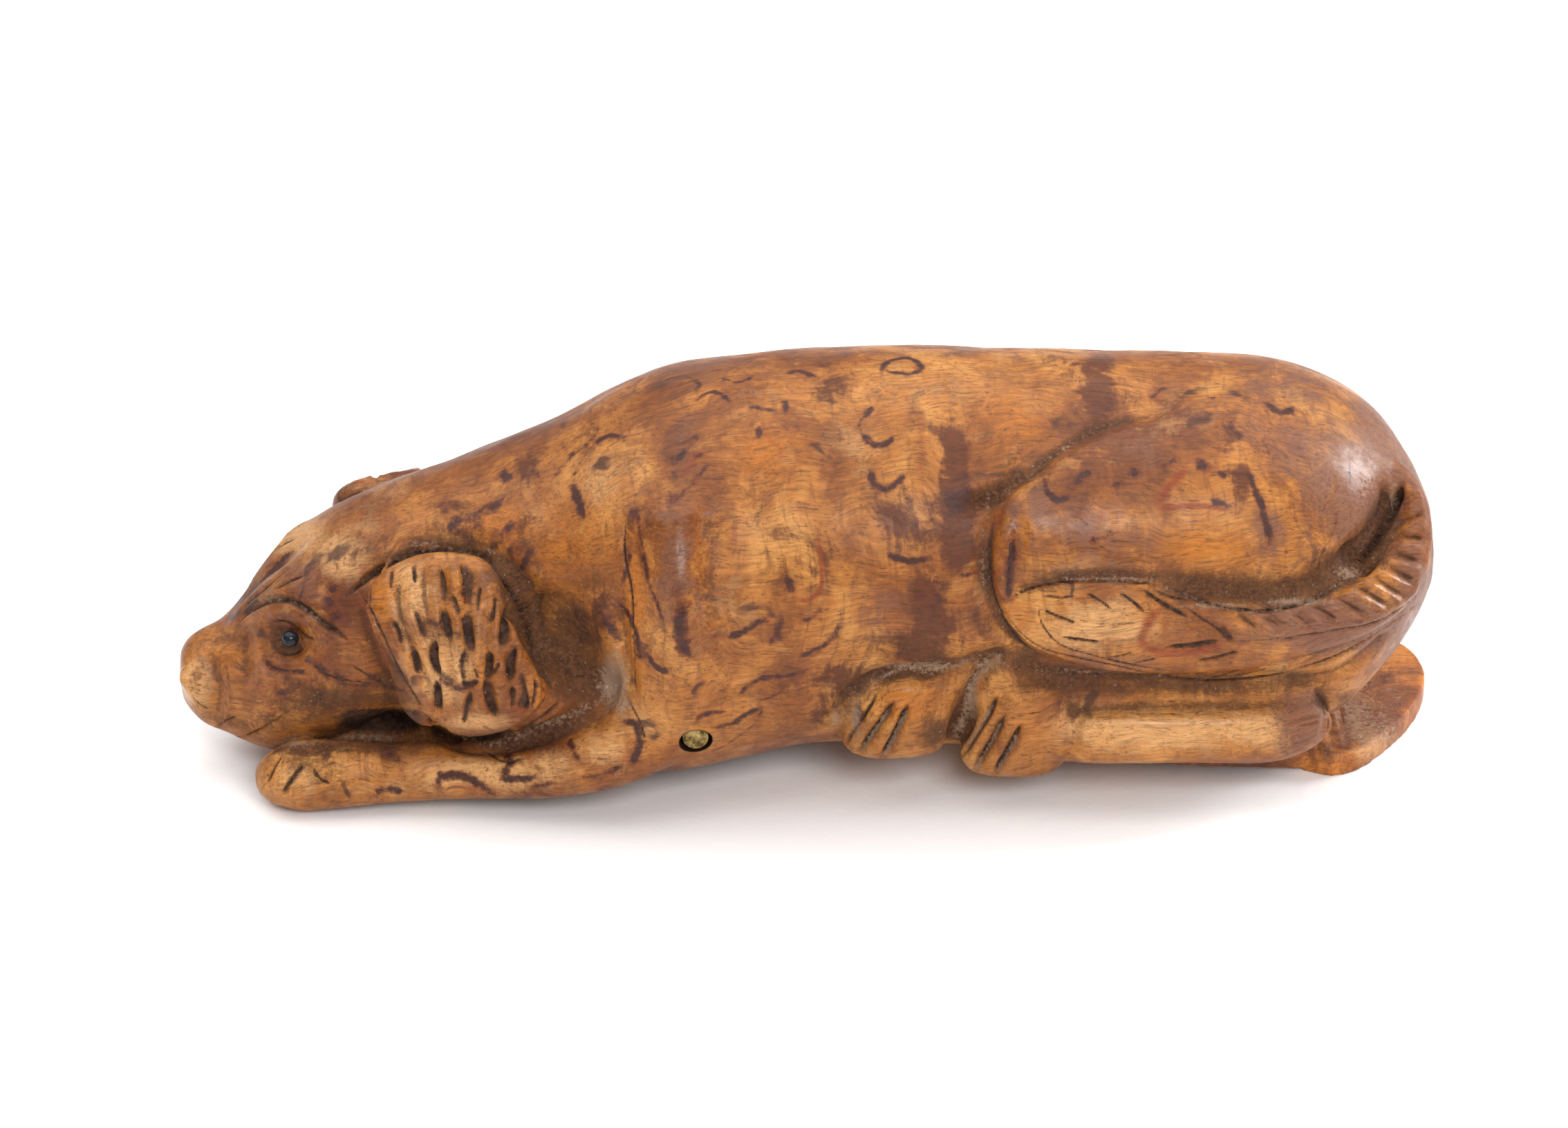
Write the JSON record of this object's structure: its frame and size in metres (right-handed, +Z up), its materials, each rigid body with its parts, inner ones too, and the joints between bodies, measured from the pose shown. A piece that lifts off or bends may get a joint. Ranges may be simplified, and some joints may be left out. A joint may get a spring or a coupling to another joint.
{
  "type": "snuff box",
  "caption": "Snuff box carved from burr wood as a recumbent hound with bead eyes, closed from below by a lid that turns on a brass pin.",
  "frame": {"origin": "bottom centre of the part's box, on the surface the box stands on", "axes": "+X along the hound from nose to rump, +Y away from the side with the tail and hind feet, +Z up"},
  "size_m": [0.1099, 0.0358, 0.036],
  "materials": {
    "burr_wood": "burr wood, honey amber with dark flecks, waxed and handled to a satin gloss",
    "lid_wood": "the same burr wood, darker and duller with dirt",
    "brass": "old dull brass",
    "black_glass": "polished black glass"
  },
  "bodies": {
    "hound": {"hound_body": "burr_wood", "hinge_pin": "brass", "left_eye": "black_glass", "right_eye": "black_glass"},
    "lid": {"lid": "lid_wood"}
  },
  "joints": [
    {"name": "lid_hinge", "type": "hinge", "parent": "hound", "child": "lid", "pos_m": [-0.0107, 0, 0.0089], "axis": [0, 1, 0], "range_deg": [0, 90]}
  ]
}
